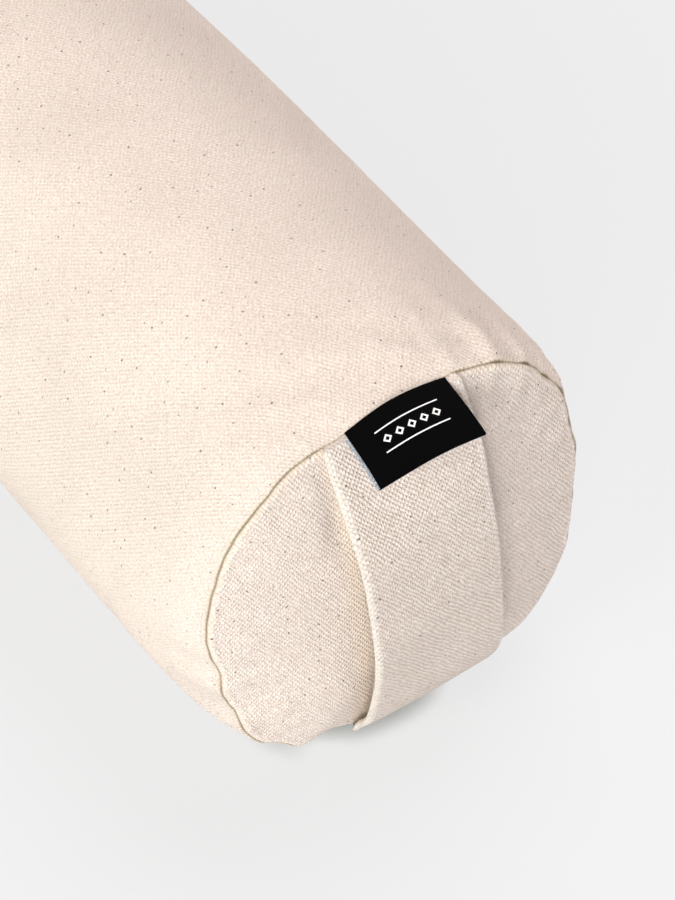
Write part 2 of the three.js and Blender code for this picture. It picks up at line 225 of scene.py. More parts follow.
def grid_faces(rows, columns, closed, keep=None, looped=False):
    """Quads of a grid of points; closed joins its last column to the first, and looped its rows."""
    faces = []
    for i in range(rows if looped else rows - 1):
        n = (i + 1) % rows
        for j in range(columns if closed else columns - 1):
            if keep is None or keep(i, j):
                k = (j + 1) % columns
                faces.append((i * columns + j, i * columns + k, n * columns + k, n * columns + j))
    return faces


def turned(faces):
    """The same faces, facing the other way."""
    return [face[::-1] for face in faces]


def end_caps(rows, columns):
    """Faces that close the first and last rows of a turned tube."""
    last = (rows - 1) * columns
    return [tuple(range(columns)), tuple(range(last, last + columns))[::-1]]


def growing_steps(reach, step, growth, largest):
    """Places from 0 to just past a reach, close together at first."""
    into = [0.0]
    while into[-1] < reach:
        into.append(into[-1] + step)
        step = min(step * growth, largest)
    return np.array(into)


# ---- the settled body ----
def fullness(y):
    into = np.clip((np.abs(y) - HALF + TAPER) / TAPER, 0, 1)
    return 1 - into ** TAPER_POWER


# where the front seam stands out of its circle or dips inside it: the angle in degrees, the height in
# millimetres and the width in degrees. These, and the part that is drawn up, were chosen by hand to meet
# radii that a separate program worked out from places read off the photograph.
SEAM_BUMPS = (
    (62, 3.6, 11.5), (345, -2.6, 17), (55, 2.9, 30), (76, 1.4, 8), (50.5, 1.2, 4), (34, 1.6, 8),
    (175, 1.5, 8), (189.5, -2.2, 4.3), (207, -4.0, 7.5), (231, -3.0, 5.7),
)
SEAM_DRAWN = 7.0 * MM  # how far the strap's lower end draws the seam up
CRINKLE_AT = 200  # degrees round the front seam where it puckers
CRINKLE_REACH = 0.22  # and how far either way, in radians
GROOVE_DEPTH = 1.3 * MM  # of the side seam beyond the zip


def rim_shape(angle, front):
    """How far an end seam stands out of its circle. The front one is squarish, as it was sewn."""
    if not front:
        return MM * (1.6 * np.cos(3 * angle + 0.8) + 0.9 * wave_noise(angle, (5, 8, 11), SEED + 7))
    shape = 3.6 * np.cos(4 * (angle - math.radians(50))) - 2.6 * np.cos(angle)
    shape = shape + 0.5 * wave_noise(angle, (9, 13, 17), SEED + 1)
    shape = shape + 0.22 * wave_noise(angle, (29, 41, 53, 67), SEED + 12)
    for centre, height, width in SEAM_BUMPS:
        shape = shape + height * hill(angle_gap(angle, centre), math.radians(width))
    degrees = np.degrees(angle) % 360
    drawn = smooth(degrees, 235.5, 247) * (1 - smooth(degrees, 290, 310))
    draw = SEAM_DRAWN + 3 * MM * smooth(degrees, 248, 264)
    return MM * shape * (1 - drawn) - draw * drawn


def seam_shift(angle, front):
    """How far the seam wanders along the bolster."""
    seed = SEED + (2 if front else 8)
    wander = 0.9 * wave_noise(angle, (3, 5, 9, 14), seed)
    crinkle = 0.9 * hill(angle_gap(angle, CRINKLE_AT), CRINKLE_REACH) * np.cos(17 * angle + 1.7)
    return MM * (wander + (crinkle if front else 0))


# soft tucks beside the front seam: angle in degrees, height, width and length in millimetres
FRONT_TUCKS = (
    (74, 1.8, 3.8, 26), (63.2, 4.4, 3.6, 44), (53.5, 5.4, 3.3, 38), (43.8, 4.6, 3.6, 36), (35.3, 4.2, 4, 30),
    (24, 2.6, 5, 28), (12, 1.6, 6, 22), (106, 0.9, 4.5, 20), (117, 1.2, 3.6, 22), (127, 0.9, 4.2, 20),
    (141, 0.7, 7, 24), (168, 0.6, 7, 18), (183, 1.1, 4.5, 15), (196, 1.3, 4.5, 17), (213, 1.0, 5, 18),
    (228, 0.6, 6, 15), (318, 0.8, 6, 20), (340, 1.4, 5, 24), (355, 1.4, 5, 24),
)


def rear_tucks():
    rng = np.random.default_rng(SEED + 3)
    places = np.arange(0, 360, 15) + rng.uniform(-5, 5, 24)
    return [(a, rng.uniform(0.8, 2.4), rng.uniform(3.5, 6.5), rng.uniform(16, 34)) for a in places]


REAR_TUCKS = rear_tucks()


def tucks(angle, distance, front):
    """Radial folds that fade with distance from the seam, in metres."""
    total = np.zeros(np.broadcast(angle, distance).shape)
    for degrees, height, width, length in FRONT_TUCKS if front else REAR_TUCKS:
        across = angle_gap(angle, degrees) * RIM / (width * MM)
        spread = 1 + distance / (length * MM)
        fold = hill(across, spread) - 0.55 * hill(across, 1.9 * spread)
        total = total + height * MM * fold * hill(distance, length * MM, 1.5)
    return total * (0.3 + 0.7 * smooth(distance, 0, 8 * MM))


def slack(angle, y):
    """Long shallow unevenness of the stuffing under the cloth, in metres."""
    rng = np.random.default_rng(SEED + 4)
    total = np.zeros(np.broadcast(angle, y).shape)
    for _ in range(SLACK_WAVES):
        around = rng.integers(1, 5)
        along = rng.uniform(-18, 18)
        total = total + np.cos(around * angle + along * y + rng.uniform(0, 2 * math.pi))
    return SLACK_DEPTH * total


def settled(angle, y, radius):
    """A point of the body: pressed flat on the floor, and spread sideways."""
    full = fullness(y)
    drop = -np.sin(angle) * radius / AXIS
    press = 2 / (1 + drop + np.sqrt((1 - drop) ** 2 + PRESS_EASE ** 2))
    press = np.minimum(press, 1)
    x = np.cos(angle) * radius * press * (1 + SPREAD * full)
    z = np.sin(angle) * radius * press
    z = np.where(z > 0, z * (1 - SAG * full), z)
    return x, z + AXIS


def tube_rows():
    """Places along the tube, close together at the seams."""
    into = growing_steps(HALF, 0.3 * MM, 1.12, 5.6 * MM)
    into = into[:-1] * (HALF / into[-2])
    return np.concatenate([-HALF + into, (HALF - into[:-1])[::-1]])


AROUND = 296
SLOT_STEPS = (0, 0.22, 0.55, 1.2, 2.5)  # from the side seam to the zip opening's edge
SLOT_COLUMNS = len(SLOT_STEPS) - 1
PANEL_COLUMNS = 264
CASE_COLUMNS = 96


def tube_columns():
    """Angles right round the tube, from the side seam back to it."""
    middle = np.arange(SLOT_STEPS[-1] + 1, AROUND - SLOT_STEPS[-1])
    last = AROUND - np.array(SLOT_STEPS[::-1])
    return np.concatenate([SLOT_STEPS, middle, last]) * (2 * math.pi / AROUND)


def tube_radius(angle, y):
    """Radius of the tube before it settles, for arrays of angles and places along it."""
    front = y < 0
    distance = HALF - np.abs(y)
    rim = np.where(front, rim_shape(angle, True), rim_shape(angle, False))
    radius = RIM + (BELLY - RIM) * fullness(y) + rim * seam_fade(y)
    radius = radius + np.where(front, tucks(angle, distance, True), tucks(angle, distance, False))
    return radius + slack(angle, y) * beside_zip(angle) * smooth(distance, 8 * MM, 60 * MM)


def beside_zip(angle):
    """0 along the zip, where its tape keeps the cloth even, and 1 away from it."""
    return smooth(np.abs(angle_gap(angle, 0)) * BELLY, 12 * MM, 45 * MM)


def seam_fade(y):
    """How much of a seam's own shape is left at a place along the tube."""
    return (1 - smooth(HALF - np.abs(y), 0, 70 * MM)) ** 1.5


def tube_surface(angle, y):
    """Points on the cover's tube for arrays of angles and places along it."""
    distance = HALF - np.abs(y)
    shift = np.where(y < 0, seam_shift(angle, True), -seam_shift(angle, False))
    ridge = SEAM_RIDGE * hill(distance - 1.5 * MM, 1.0 * MM)
    roll = -SEAM_ROLL * hill(distance, 0.5 * MM, 1.4)
    radius = tube_radius(angle, y) + WRINKLES.on_tube(angle, y) * beside_zip(angle)
    x, z = settled(angle, y, radius + ridge + roll - closing_groove(angle, y))
    return np.stack([x, y + shift * seam_fade(y), np.maximum(z, 0.0)], -1)


def closing_groove(angle, y):
    """Depth of the side seam that runs on from each end of the zip to the round seams."""
    beside = np.abs(angle_gap(angle, 0)) * BELLY
    beyond = smooth(np.abs(y), SLOT_HALF - 1 * MM, SLOT_HALF + 3 * MM)
    return GROOVE_DEPTH * hill(beside, 0.9 * MM, 1.4) * beyond


def hem_rise(y):
    """How far the folded hem beside the zip stands proud at a place along the tube."""
    return 0.7 * MM * smooth(SLOT_HALF + 12 * MM - np.abs(y), 0, 8 * MM)


def cover_body(material):
    angles = tube_columns()
    rows = tube_rows()
    rows[np.argmin(np.abs(rows + SLOT_HALF))] = -SLOT_HALF
    rows[np.argmin(np.abs(rows - SLOT_HALF))] = SLOT_HALF
    angle, y = np.meshgrid(angles, rows)
    points = tube_surface(angle, y)
    edge = np.abs(angle_gap(angle, 0)) * BELLY
    points[..., 0] += hem_rise(y) * (1 - smooth(edge, 13 * MM, 18 * MM))
    cloth = np.stack([angle * BELLY, y, np.zeros_like(y)], -1)
    distance = (HALF - np.abs(y)) / MM
    side_seam = closing_groove(angle, y) / GROOVE_DEPTH
    # groove: where the seams lie, for the canvas's dark seam line and painted shade
    groove = np.maximum(hill(distance, 1.1, 1), 0.9 * side_seam)
    open_rows = np.abs(rows) < SLOT_HALF - 0.1 * MM
    columns = len(angles)

    def keep(i, j):
        in_slot = j < SLOT_COLUMNS or j >= columns - 1 - SLOT_COLUMNS
        return not (in_slot and (open_rows[i] or open_rows[i + 1]))

    faces = turned(grid_faces(len(rows), columns, False, keep))
    piece = new_piece("cover_body", points.reshape(-1, 3), faces, material, cloth=cloth, groove=groove)
    drop_loose(piece.data)
    return thicken(piece, CANVAS)


def drop_loose(mesh):
    """Removes points that no face uses."""
    work = bmesh.new()
    work.from_mesh(mesh)
    spare = [v for v in work.verts if not v.link_faces]
    bmesh.ops.delete(work, geom=spare, context="VERTS")
    work.to_mesh(mesh)
    work.free()


def crown_height(share):
    """Bulge of an end panel, by share of the way from its middle to the seam."""
    return CROWN * (1 - share ** 2.6)


def panel_hollows(x, z):
    """The front panel stands fuller low down beside the strap, and is slack at its upper right."""
    up = z - AXIS
    full = 3.5 * round_hill(x, up, (-47, -66), (26, 24))
    full = full - 2.4 * hill(strap_side(x, z) + STRAP_WIDTH / 2, 6 * MM) * smooth(up, 20 * MM, 60 * MM)
    return MM * (full - 4.0 * round_hill(x, up, (38, 38), (30, 34)))


def round_hill(x, up, centre, reach):
    """1 at a centre and fading to 0 around it; both are given across and up, in millimetres."""
    across = (x - centre[0] * MM) / (reach[0] * MM)
    above = (up - centre[1] * MM) / (reach[1] * MM)
    return np.exp(-across ** 2 - above ** 2)


def strap_side(x, z):
    """Distance from the strap's middle line, for a place on the front panel."""
    return x * math.cos(STRAP_TURN) + (z - AXIS) * math.sin(STRAP_TURN)


def panel_dimples(x, z, seed):
    """Soft dents of the stuffing under an end panel."""
    rng = np.random.default_rng(seed)
    total = np.zeros_like(x)
    for _ in range(DIMPLE_WAVES):
        fx, fz = rng.uniform(-40, 40, 2)
        total = total + np.cos(fx * x + fz * z + rng.uniform(0, 2 * math.pi))
    return DIMPLE_DEPTH * total


def end_panel(name, front, material):
    """A round panel sewn into the end of the tube; its edge rolls into the seam."""
    columns = PANEL_COLUMNS
    angles = round_angles(columns)
    reach = RIM - 1.0 * MM
    into = growing_steps(reach, 0.28 * MM, 1.14, 3.6 * MM)
    shares = 1 - into[:-1] / into[-1] * (1 - 0.004)
    angle, share = np.meshgrid(angles, shares)
    radius = share * (reach + rim_shape(angle, front) * share ** 3)
    x, z = settled(angle, np.full_like(angle, HALF), radius)
    edge = (1 - share) * reach
    bulge = crown_height(share)
    bulge = bulge + 0.25 * MM * hill(edge - 1.6 * MM, 1.1 * MM)
    bulge = bulge - 1.7 * MM * hill(edge, 0.5 * MM, 1.4)
    bulge = bulge - seam_shift(angle, front) * share ** 8
    bulge = bulge + 0.35 * tucks(angle, edge, front)
    bulge = bulge + panel_dimples(x, z, SEED + (5 if front else 6)) * (1 - share ** 3)
    bulge = bulge + 0.55 * WRINKLES.on_end(angle, share, front)
    if front:
        bulge = bulge + panel_hollows(x, z) * (1 - share ** 6)
    side = -1 if front else 1
    points = np.stack([x, side * (HALF + bulge), np.maximum(z, 0.2 * MM)], -1)
    # groove: where the seam lies, for the canvas's dark seam line and painted shade
    groove = hill(edge, 0.8 * MM, 1)
    # painted shade: a darker ochre tint on the cloth beside the strap's left edge, standing in for the shade
    # under the strap and the light it throws back
    warm = hill(strap_side(x, z) + STRAP_WIDTH / 2 - 6 * MM, 5.5 * MM) * front
    # the weave follows the cloth's own length from the middle out, so it isn't stretched at the seam
    steps = np.linalg.norm(np.diff(points, axis=0), axis=-1)
    arc = np.cumsum(np.vstack([steps, share[-1:] * reach])[::-1], axis=0)[::-1]
    cloth = np.stack([np.cos(angle) * arc, np.sin(angle) * arc, np.full_like(x, 0.4 if front else 0.8)], -1)
    rows = len(shares)
    faces = grid_faces(rows, columns, True)
    last = (rows - 1) * columns
    middle = rows * columns
    faces += [(last + j, last + (j + 1) % columns, middle) for j in range(columns)]
    if front:
        faces = turned(faces)
    crown = (0.0, side * (HALF + CROWN), AXIS)
    cloth = np.vstack([cloth.reshape(-1, 3), (0, 0, cloth[0, 0, 2])])
    points = np.vstack([points.reshape(-1, 3), crown])
    piece = new_piece(name, points, faces, material, cloth=cloth, groove=np.append(groove, 0.0),
                      warm=np.append(warm, 0.0))
    return thicken(piece, CANVAS)


# ---- the stuffed cloth ----
class Wrinkles:
    """Creases the cloth takes up between its fixed seams, found by a cloth simulation.

    They are kept as waves round the bolster, one set for every ring of the simulated mesh."""

    COLUMNS = 132
    LOWEST, HIGHEST = 6, 54  # waves round; lower ones are the body's own shape
    TUBE = np.linspace(-HALF, HALF, 125)
    SHARES = np.linspace(0.16, 1, 15)
    CAP = 2.5 * MM
    FRAMES = 20
    SETTINGS = {  # a shrink below 0 is extra cloth
        "quality": 6, "mass": 0.25, "tension_stiffness": 18, "compression_stiffness": 18,
        "shear_stiffness": 6, "bending_stiffness": 0.06, "use_pressure": True,
        "uniform_pressure_force": 4, "shrink_min": -0.03, "shrink_max": -0.03,
        "vertex_group_mass": "seams",
    }

    def __init__(self):
        self.tube = None
        self.ends = {}

    def simulate(self):
        angles = round_angles(self.COLUMNS)
        rings = [self.end_ring(angles, s, -1) for s in self.SHARES[:-1]]
        first_wall = len(rings)
        for y in self.TUBE:
            place = np.full_like(angles, y)
            radius = RIM + (BELLY - RIM) * fullness(place) + slack(angles, place)
            rings.append(self.ring(angles, place, radius, place))
        rings += [self.end_ring(angles, s, 1) for s in self.SHARES[-2::-1]]
        rings = np.array(rings)
        count = len(rings)
        faces = turned(grid_faces(count, self.COLUMNS, True))
        points = rings.reshape(-1, 3)
        last = (count - 1) * self.COLUMNS
        for j in range(self.COLUMNS):
            k = (j + 1) % self.COLUMNS
            faces += [(j, k, len(points)), (last + k, last + j, len(points) + 1)]
        middles = [(0, -HALF - CROWN, AXIS), (0, HALF + CROWN, AXIS)]
        cloth = new_piece("stuffed_cloth", np.vstack([points, middles]), faces, None)
        seams = cloth.vertex_groups.new(name="seams")
        last_wall = first_wall + len(self.TUBE) - 1
        for row in (first_wall, last_wall):
            held = range(row * self.COLUMNS, (row + 1) * self.COLUMNS)
            seams.add(list(held), 1.0, "REPLACE")
        moved = self.blown(cloth)[:len(points)].reshape(rings.shape)
        shift = moved - rings
        outward = shift[..., 0] * np.cos(angles) + shift[..., 2] * np.sin(angles)
        self.tube = self.waves(outward[first_wall:last_wall + 1])
        self.ends[True] = self.waves(-shift[:first_wall + 1, :, 1])
        self.ends[False] = self.waves(shift[:last_wall - 1:-1, :, 1])

    def ring(self, angles, place, radius, y):
        x, z = settled(angles, place, radius)
        return np.stack([x, y, z], -1)

    def end_ring(self, angles, share, side):
        place = np.full_like(angles, side * HALF)
        return self.ring(angles, place, RIM * share, place + side * crown_height(share))

    def blown(self, cloth):
        """Points of the cloth after it has been pressed outwards for a while, its seams held."""
        made = cloth.modifiers.new("cloth", "CLOTH")
        for key, value in self.SETTINGS.items():
            setattr(made.settings, key, value)
        made.settings.effector_weights.gravity = 0
        made.collision_settings.use_collision = False
        made.point_cache.frame_start = 1
        made.point_cache.frame_end = self.FRAMES
        for step in range(1, self.FRAMES + 1):
            bpy.context.scene.frame_set(step)
        applied(cloth)
        result = np.empty(len(cloth.data.vertices) * 3)
        cloth.data.vertices.foreach_get("co", result)
        mesh = cloth.data
        bpy.data.objects.remove(cloth)
        bpy.data.meshes.remove(mesh)
        bpy.context.scene.frame_set(1)
        return result.reshape(-1, 3)

    def waves(self, rows):
        waves = np.fft.rfft(np.nan_to_num(rows), axis=1) / self.COLUMNS * 2
        waves[:, :self.LOWEST] = 0
        waves[:, self.HIGHEST:] = 0
        return waves

    def total(self, waves, angle, row):
        """Sum of the waves at an angle and a place between rows, within the cap."""
        row = np.clip(row, 0, len(waves) - 1.001)
        below = np.floor(row).astype(int)
        share = row - below
        total = np.zeros(np.broadcast(angle, row).shape)
        weights = ((-1, -0.5 * share + share ** 2 - 0.5 * share ** 3),
                   (0, 1 - 2.5 * share ** 2 + 1.5 * share ** 3),
                   (1, 0.5 * share + 2 * share ** 2 - 1.5 * share ** 3),
                   (2, -0.5 * share ** 2 + 0.5 * share ** 3))
        for step, weight in weights:
            near = waves[np.clip(below + step, 0, len(waves) - 1)]
            for k in range(self.LOWEST, self.HIGHEST):
                total = total + weight * (near[..., k] * np.exp(1j * k * angle)).real
        return self.CAP * np.tanh(total / self.CAP)

    def on_tube(self, angle, y):
        if self.tube is None:
            return 0.0
        return self.total(self.tube, angle, (y + HALF) / (2 * HALF) * (len(self.TUBE) - 1))

    def on_end(self, angle, share, front):
        if not self.ends:
            return 0.0
        low = self.SHARES[0]
        row = (share - low) / (1 - low) * (len(self.SHARES) - 1)
        return self.total(self.ends[front], angle, row) * smooth(share, 0.1, 0.35)


WRINKLES = Wrinkles()


# ---- the inner pillow ----
def inner_body(name, depth, material, lumps):
    """A closed, filled form inside the cover."""
    angles = round_angles(CASE_COLUMNS)
    half = HALF - depth
    walls = np.linspace(-half, half, 90)
    shares = np.linspace(0.94, 0.06, 12)
    rings = [(-half - crown_height(s) + depth * 0.4, s) for s in shares[::-1]]
    rings += [(y, 1.0) for y in walls]
    rings += [(half + crown_height(s) - depth * 0.4, s) for s in shares]
    points = []
    for y, share in rings:
        place = np.clip(y, -HALF, HALF)
        radius = (tube_radius(angles, np.full_like(angles, place)) - depth) * share
        radius = radius + lumps * wave_noise(angles + 9 * y, (3, 5, 8), SEED + 11) * share
        x, z = settled(angles, np.full_like(angles, place), radius)
        ring_y = np.full_like(angles, y)
        points.append(np.stack([x, ring_y, np.maximum(z, depth)], -1))
    points = np.array(points)
    count = len(rings)
    faces = turned(grid_faces(count, CASE_COLUMNS, True)) + end_caps(count, CASE_COLUMNS)
    flat = points.reshape(-1, 3)
    return new_piece(name, flat, faces, material, cloth=flat)


# ---- the carry strap ----
def even_curve(knots, count):
    """A smooth line through knots given in millimetres, at evenly spaced points."""
    knots = np.array(knots, float) * MM
    fine = []
    for i in range(len(knots) - 1):
        p0 = knots[max(i - 1, 0)]
        p1 = knots[i]
        p2 = knots[i + 1]
        p3 = knots[min(i + 2, len(knots) - 1)]
        for t in np.linspace(0, 1, 20, endpoint=False):
            bend = 2 * p0 - 5 * p1 + 4 * p2 - p3
            twist = 3 * p1 - p0 - 3 * p2 + p3
            fine.append(0.5 * (2 * p1 + (p2 - p0) * t + bend * t * t + twist * t ** 3))
    fine.append(knots[-1])
    fine = np.array(fine)
    run = np.concatenate([[0], np.cumsum(np.linalg.norm(np.diff(fine, axis=0), axis=1))])
    even = np.linspace(0, run[-1], count)
    line = np.stack([np.interp(even, run, fine[:, 0]), np.interp(even, run, fine[:, 1])], -1)
    tangent = np.gradient(line, axis=0)
    tangent /= np.linalg.norm(tangent, axis=1)[:, None]
    return even, line, np.stack([tangent[:, 1], -tangent[:, 0]], -1)


def strap_section():
    """Outline across the strap, rolled at its long edges.

    For each point: its place across, its share of the depth, and its place on the cloth."""
    flat = STRAP_WIDTH / 2 - STRAP_NOSE
    middle = np.linspace(-flat, flat, 28)
    arc = np.linspace(0, math.pi, 11)[1:-1]
    roll = (STRAP_NOSE + STRAP_THICK / 2) / 2  # cloth taken up by each radian of the roll
    back = flat + math.pi * roll
    outer = [(a, 0.0, a) for a in middle]
    right = [(flat + STRAP_NOSE * math.sin(t) ** 0.8, (1 - math.cos(t)) / 2, flat + t * roll) for t in arc]
    inner = [(a, 1.0, math.copysign(back + flat - abs(a), a)) for a in middle[::-1]]
    left = [(-x, depth, -place) for x, depth, place in right[::-1]]
    return np.array(outer + right + inner + left)


def in_strap_frame(x, out, up):
    """From the strap's turned frame to the row frame."""
    turned_x = x * math.cos(STRAP_TURN) - up * math.sin(STRAP_TURN)
    turned_z = x * math.sin(STRAP_TURN) + up * math.cos(STRAP_TURN)
    return np.stack([turned_x, -HALF - out, turned_z + AXIS], -1)


def strap_points():
    """Rows of points round the strap, from the top seam to the bottom one."""
    run, left, left_in = even_curve(STRAP_LEFT, STRAP_STATIONS)
    _, right, right_in = even_curve(STRAP_RIGHT, STRAP_STATIONS)
    section = strap_section()
    across = section[None, :, 0]
    share = 0.5 + across / STRAP_WIDTH
    end = np.minimum(run, run[-1] - run)[:, None]
    depth = section[None, :, 1] * STRAP_THICK * (0.3 + 0.7 * smooth(end, 2 * MM, 16 * MM))
    line = left[:, None] * (1 - share)[..., None] + right[:, None] * share[..., None]
    inward = left_in[:, None] * (1 - share)[..., None] + right_in[:, None] * share[..., None]
    up = left[:, 1]
    free = smooth(up, -93 * MM, -70 * MM) * (1 - smooth(up, 40 * MM, 95 * MM))
    bow = 1.0 * MM * (1 - (2 * across / STRAP_WIDTH) ** 2) * free[:, None]
    ripple = 0.22 * MM * np.cos(run[:, None] * 110 + across * 70) * free[:, None]
    o = line[..., 0] + inward[..., 0] * depth + bow + ripple
    u = line[..., 1] + inward[..., 1] * depth
    x = np.broadcast_to(across, o.shape)
    # the ends are tucked into the round seams, so they follow them
    reach = np.hypot(x, u)
    around = np.arctan2(u, x)
    limit = RIM - 0.2 * MM + rim_shape(around + STRAP_TURN, True)
    pull = np.minimum(limit / reach, 1)
    return run, in_strap_frame(x * pull, o, u * pull), section, up


def strap_half(name, upper, material):
    run, points, section, up = strap_points()
    middle = int(np.argmin(np.abs(up - STRAP_MIDDLE)))
    rows = slice(0, middle + 1) if upper else slice(middle, len(run))
    points = points[rows]
    along = run[rows]
    count, around = points.shape[:2]
    faces = turned(grid_faces(count, around, True)) + end_caps(count, around)
    across = np.broadcast_to(section[None, :, 0], (count, around))
    cloth = np.stack([np.broadcast_to(section[None, :, 2], across.shape),
                      np.broadcast_to(-along[:, None], across.shape), np.full_like(across, 1.3)], -1)
    # the folded edges, which the strap canvas paints paler: partly wear, partly a painted highlight
    fold = smooth(np.abs(across), STRAP_WIDTH / 2 - STRAP_NOSE, STRAP_WIDTH / 2 - 1 * MM)
    piece = new_piece(name, points.reshape(-1, 3), faces, material, cloth=cloth, fold=fold)
    sharpen_caps(piece.data, 2)
    return piece


def sharpen_caps(mesh, caps):
    """Keeps the last faces, a piece's end caps, out of the shading of its sides."""
    edges = {tuple(sorted(key)): i for i, key in enumerate(mesh.edge_keys)}
    sharp = mesh.attributes.new("sharp_edge", "BOOLEAN", "EDGE")
    for polygon in list(mesh.polygons)[-caps:]:
        polygon.use_smooth = False
        for key in polygon.edge_keys:
            sharp.data[edges[tuple(sorted(key))]].value = True


# ---- the woven label ----
def woven_label(material):
    """A folded ribbon: its fold is the free edge, and its back ply shows at one side."""
    ply = LABEL_PLY
    steps = 26
    nose = LABEL_THICK / 2
    top = [(v, LABEL_THICK, 0.0) for v in np.linspace(0, LABEL_LENGTH - nose, steps)]
    bend = [(LABEL_LENGTH - nose + nose * math.sin(t), nose + nose * math.cos(t), t / math.pi)
            for t in np.linspace(0, math.pi, 8)[1:-1]]
    back = [(v, 0.0, 1.0) for v in np.linspace(LABEL_LENGTH - nose, 0, steps)]
    line = np.array(top + bend + back)
    inner = line.copy()
    for i, (v, h, side) in enumerate(line):
        if side == 0:
            inner[i, 1] -= ply
        elif side == 1:
            inner[i, 1] += ply
        else:
            t = side * math.pi
            inner[i, 0] -= ply * math.sin(t)
            inner[i, 1] -= ply * math.cos(t)
    columns = np.linspace(-LABEL_WIDTH / 2, LABEL_WIDTH / 2, 40)
    rows = np.vstack([line, inner[::-1]])
    points = []
    cloth = []
    for v, h, side in rows:
        shifted = columns - LABEL_BACK_SHIFT * smooth(side, 0.0, 1.0)
        turn = shifted / LABEL_RADIUS
        flatten = smooth(v, 0, LABEL_LENGTH) * 0.55
        arch = LABEL_RADIUS * (1 - np.cos(turn)) * (1 - flatten)
        out = v * math.cos(LABEL_DROOP) + h * math.sin(LABEL_DROOP)
        curl = LABEL_CURL * math.sin(math.pi * v / LABEL_LENGTH)
        up = LABEL_RADIUS - arch - v * math.sin(LABEL_DROOP) + h * math.cos(LABEL_DROOP) + curl
        wave = 0.35 * MM * np.sin(shifted * 120 + 1.0) * (v / LABEL_LENGTH)
        root = 1 - v / LABEL_LENGTH
        spread = shifted * LABEL_STRETCH * (1 - 0.045 * root) + (1.8 * root - 0.6) * MM + LABEL_SHIFT
        up = up - 2.0 * MM * root * smooth(-shifted, 0, LABEL_WIDTH / 2)
        points.append(in_strap_frame(spread, np.full_like(turn, out) - 0.6 * MM, up + wave))
        cloth.append(np.stack([columns, np.full_like(columns, v), np.full_like(columns, side)], -1))
    count = len(rows)
    faces = []
    wide = len(columns)
    for i in range(count):
        for j in range(wide - 1):
            k = (i + 1) % count
            faces.append((i * wide + j, k * wide + j, k * wide + j + 1, i * wide + j + 1))
    half = count // 2
    for i in range(half - 1):
        a, b = i, i + 1
        c, d = count - 2 - i, count - 1 - i
        faces.append((a * wide, d * wide, c * wide, b * wide))
        e = wide - 1
        faces.append((a * wide + e, b * wide + e, c * wide + e, d * wide + e))
    under = np.array(cloth)[..., 2]
    points = np.reshape(points, (-1, 3))
    return new_piece("label_ribbon_loop", points, faces, material, cloth=cloth, under=under)


# ---- the zip ----
def swept(path, radius, sides, closed=True):
    """Points and faces of a round tube along a path of points."""
    path = np.array(path, float)
    ahead = np.roll(path, -1, 0) - np.roll(path, 1, 0)
    if not closed:
        ahead = np.gradient(path, axis=0)
    ahead /= np.linalg.norm(ahead, axis=1)[:, None]
    base = np.array([0.0, 1.0, 0.0])
    if abs(ahead[0] @ base) > 0.9:
        base = np.array([0.0, 0.0, 1.0])
    side = base - ahead * (ahead @ base)[:, None]
    side /= np.linalg.norm(side, axis=1)[:, None]
    up = np.cross(ahead, side)
    points = []
    for p, s, u in zip(path, side, up):
        for k in range(sides):
            t = 2 * math.pi * k / sides
            points.append(p + radius * (math.cos(t) * s + math.sin(t) * u))
    count = len(path)
    faces = grid_faces(count, sides, True, looped=closed)
    if not closed:
        faces += turned(end_caps(count, sides))
    return points, faces


def repeated(name, parts, material):
    """One mesh from many small parts, each given as points and faces."""
    points = []
    faces = []
    for part_points, part_faces in parts:
        start = len(points)
        points.extend(part_points)
        faces.extend(tuple(start + i for i in face) for face in part_faces)
    return new_piece(name, points, faces, material)


def coil(name, side, material):
    """The nylon coil of one half of the chain: a loop for every tooth, meshed with the other half's."""
    low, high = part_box("zip_coil_upper" if side > 0 else "zip_coil_lower")
    thread = 0.3 * MM
    bottom = low.x + thread
    top = high.x - thread
    outer = max(abs(low.z - AXIS), abs(high.z - AXIS)) - thread
    head = -0.25 * MM
    parts = []
    count = int((high.y - low.y) / CHAIN_PITCH)
    for i in range(count):
        y = low.y + (i + (0.25 if side > 0 else 0.75)) * CHAIN_PITCH
        loop = []
        for t in np.linspace(0, 2 * math.pi, 10, endpoint=False):
            across = head + (outer - head) * (0.5 - 0.5 * math.cos(t))
            height = bottom + (top - bottom) * (0.5 + 0.5 * math.sin(t))
            lean = 0.28 * CHAIN_PITCH * math.sin(t)
            loop.append((height, y + lean, AXIS + side * across))
        parts.append(swept(loop, thread, 5))
    return repeated(name, parts, material)


def tape(name, node, side, material):
    """Woven tape: a thin strip with a raised cord where the coil is sewn on, and a soft outer edge."""
    low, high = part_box(node)
    across = np.array([0.0, 0.4, 1.2, 2.2, 3.0, 3.8, 5.5, 8.0, 10.5, 12.0, 12.4])
    raised = np.array([0, .12, .16, .14, .16, 0.02, 0, 0, 0, .06, 0]) * MM
    across = across / across[-1] * (high.z - low.z)
    inner_edge = low.z if side > 0 else high.z
    rows = np.linspace(low.y, high.y, 220)
    y, a = np.meshgrid(rows, across, indexing="ij")
    ripple = 0.12 * MM * np.sin(y * 160 + 3 * side) * smooth(a, 4 * MM, 12 * MM)
    x = high.x - 0.16 * MM + np.broadcast_to(raised, a.shape) + ripple - 0.35 * MM * (a / across[-1]) ** 2
    points = np.stack([x, y, inner_edge + side * a], -1)
    faces = grid_faces(len(rows), len(across), False)
    if side > 0:
        faces = turned(faces)
    cloth = np.stack([a * side, y, np.full_like(a, 2.5)], -1)
    piece = new_piece(name, points.reshape(-1, 3), faces, material, cloth=cloth)
    return thicken(piece, 0.4 * MM)


def stitch(start, end, normal):
    """One stitch: a short thread that dips into the cloth at both ends."""
    start = np.array(start)
    end = np.array(end)
    normal = np.array(normal)
    path = []
    for t in np.linspace(0, 1, 6):
        lift = STITCH_RISE * math.sin(math.pi * t) - STITCH_SINK
        path.append(start + (end - start) * t + normal * lift)
    return swept(path, THREAD_RADIUS, 5, closed=False)


